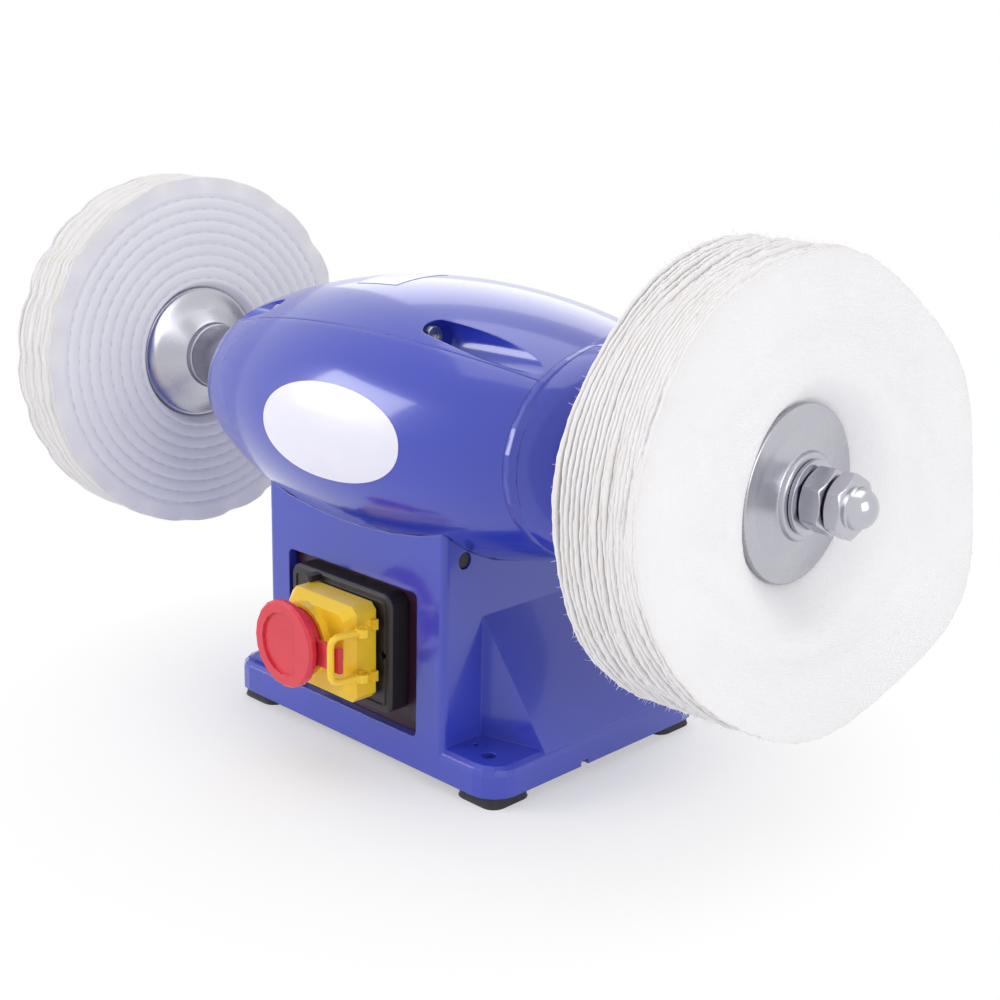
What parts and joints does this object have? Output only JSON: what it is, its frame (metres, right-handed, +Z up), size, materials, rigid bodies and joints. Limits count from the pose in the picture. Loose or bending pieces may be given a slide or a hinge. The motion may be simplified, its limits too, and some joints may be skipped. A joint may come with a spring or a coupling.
{
  "type": "bench buffer",
  "caption": "Bench buffer: an oval motor barrel on a cast pedestal, a stitched and a loose cotton buff on cone flanges at its shaft ends, and a stop switch with a lid",
  "frame": {"origin": "on the underside of the bottom plate, below the middle of the shaft; the feet reach below it", "axes": "+X along the shaft to the loose buff, +Y to the rear, +Z up; the switch faces -Y"},
  "size_m": [0.5013, 0.203, 0.2579],
  "materials": {
    "blue_enamel": "glossy blue enamel over a cast surface",
    "zinc_plate": "bright zinc plate",
    "turned_flange": "zinc plate over fine turning marks",
    "shaft_steel": "ground steel",
    "lamination_steel": "stacked dark laminations",
    "copper_winding": "enamelled copper wire",
    "black_rubber": "matt black rubber",
    "black_plastic": "fine textured black plastic",
    "dark_panel": "dark purple-black paint",
    "yellow_plastic": "satin yellow plastic",
    "red_plastic": "satin red plastic",
    "green_plastic": "satin green plastic",
    "grey_case": "grey plastic case",
    "stitched_cotton": "white cotton plies sewn in rings",
    "loose_cotton": "loose white cotton plies with frayed edges"
  },
  "bodies": {
    "stand": {"pedestal": "blue_enamel", "lower_shell": "blue_enamel", "upper_shell": "blue_enamel", "left_end_bell": "blue_enamel", "right_end_bell": "blue_enamel", "bottom_plate": "zinc_plate", "foot_screw_front_left": "zinc_plate", "foot_screw_front_right": "zinc_plate", "foot_screw_rear_left": "zinc_plate", "foot_screw_rear_right": "zinc_plate", "lid_hinge_pin": "shaft_steel", "casing_screw_front_left": "shaft_steel", "casing_screw_front_right": "shaft_steel", "casing_screw_rear_left": "shaft_steel", "casing_screw_rear_right": "shaft_steel", "bearing_outer_ring_left": "shaft_steel", "bearing_outer_ring_right": "shaft_steel", "stator_core": "lamination_steel", "winding_left": "copper_winding", "winding_right": "copper_winding", "foot_front_left": "black_rubber", "foot_front_right": "black_rubber", "foot_rear_left": "black_rubber", "foot_rear_right": "black_rubber", "switch_housing": "black_plastic", "cable_gland": "black_plastic", "side_plug_left": "black_plastic", "side_plug_right": "black_plastic", "switch_panel": "dark_panel", "run_capacitor": "grey_case"},
    "spindle": {"spindle_shaft": "shaft_steel", "rotor_core": "lamination_steel", "bearing_inner_ring_left": "shaft_steel", "bearing_inner_ring_right": "shaft_steel", "spacer_left": "zinc_plate", "spacer_right": "zinc_plate", "inner_flange_left": "turned_flange", "inner_flange_right": "turned_flange", "outer_flange_left": "turned_flange", "outer_flange_right": "turned_flange", "washer_left": "zinc_plate", "washer_right": "zinc_plate", "hex_nut_left": "zinc_plate", "hex_nut_right": "zinc_plate", "acorn_nut_left": "zinc_plate", "acorn_nut_right": "zinc_plate", "stitched_buff": "stitched_cotton", "loose_buff_ply_pack_1": "loose_cotton", "loose_buff_ply_pack_2": "loose_cotton", "loose_buff_ply_pack_3": "loose_cotton", "loose_buff_ply_pack_4": "loose_cotton"},
    "lid": {"switch_lid": "yellow_plastic"},
    "knob": {"stop_knob": "red_plastic"},
    "clasp": {"lid_clasp": "yellow_plastic"},
    "stop_push": {"stop_button": "red_plastic"},
    "start_push": {"start_button": "green_plastic"}
  },
  "joints": [
    {"name": "spindle_spin", "type": "hinge", "parent": "stand", "child": "spindle", "pos_m": [0, 0, 0.1522], "axis": [1, 0, 0], "continuous": true},
    {"name": "lid_swing", "type": "hinge", "parent": "stand", "child": "lid", "pos_m": [-0.0178, -0.0745, 0.05485], "axis": [0, 0, -1], "range_deg": [0, 90]},
    {"name": "stop_knob_push", "type": "slide", "parent": "lid", "child": "knob", "axis": [0, 1, 0], "range_m": [0, 0.003], "stiffness_N_per_m": 300},
    {"name": "stop_button_push", "type": "slide", "parent": "stand", "child": "stop_push", "axis": [0, 1, 0], "range_m": [0, 0.003]},
    {"name": "start_button_push", "type": "slide", "parent": "stand", "child": "start_push", "axis": [0, 1, 0], "range_m": [0, 0.003], "stiffness_N_per_m": 300},
    {"name": "clasp_swing", "type": "hinge", "parent": "lid", "child": "clasp", "pos_m": [0.0305, -0.084, 0.0575], "axis": [0, 0, 1], "range_deg": [0, 100]}
  ],
  "couplings": [
    {"joint": "stop_button_push", "follows": "stop_knob_push", "ratio": 1}
  ]
}
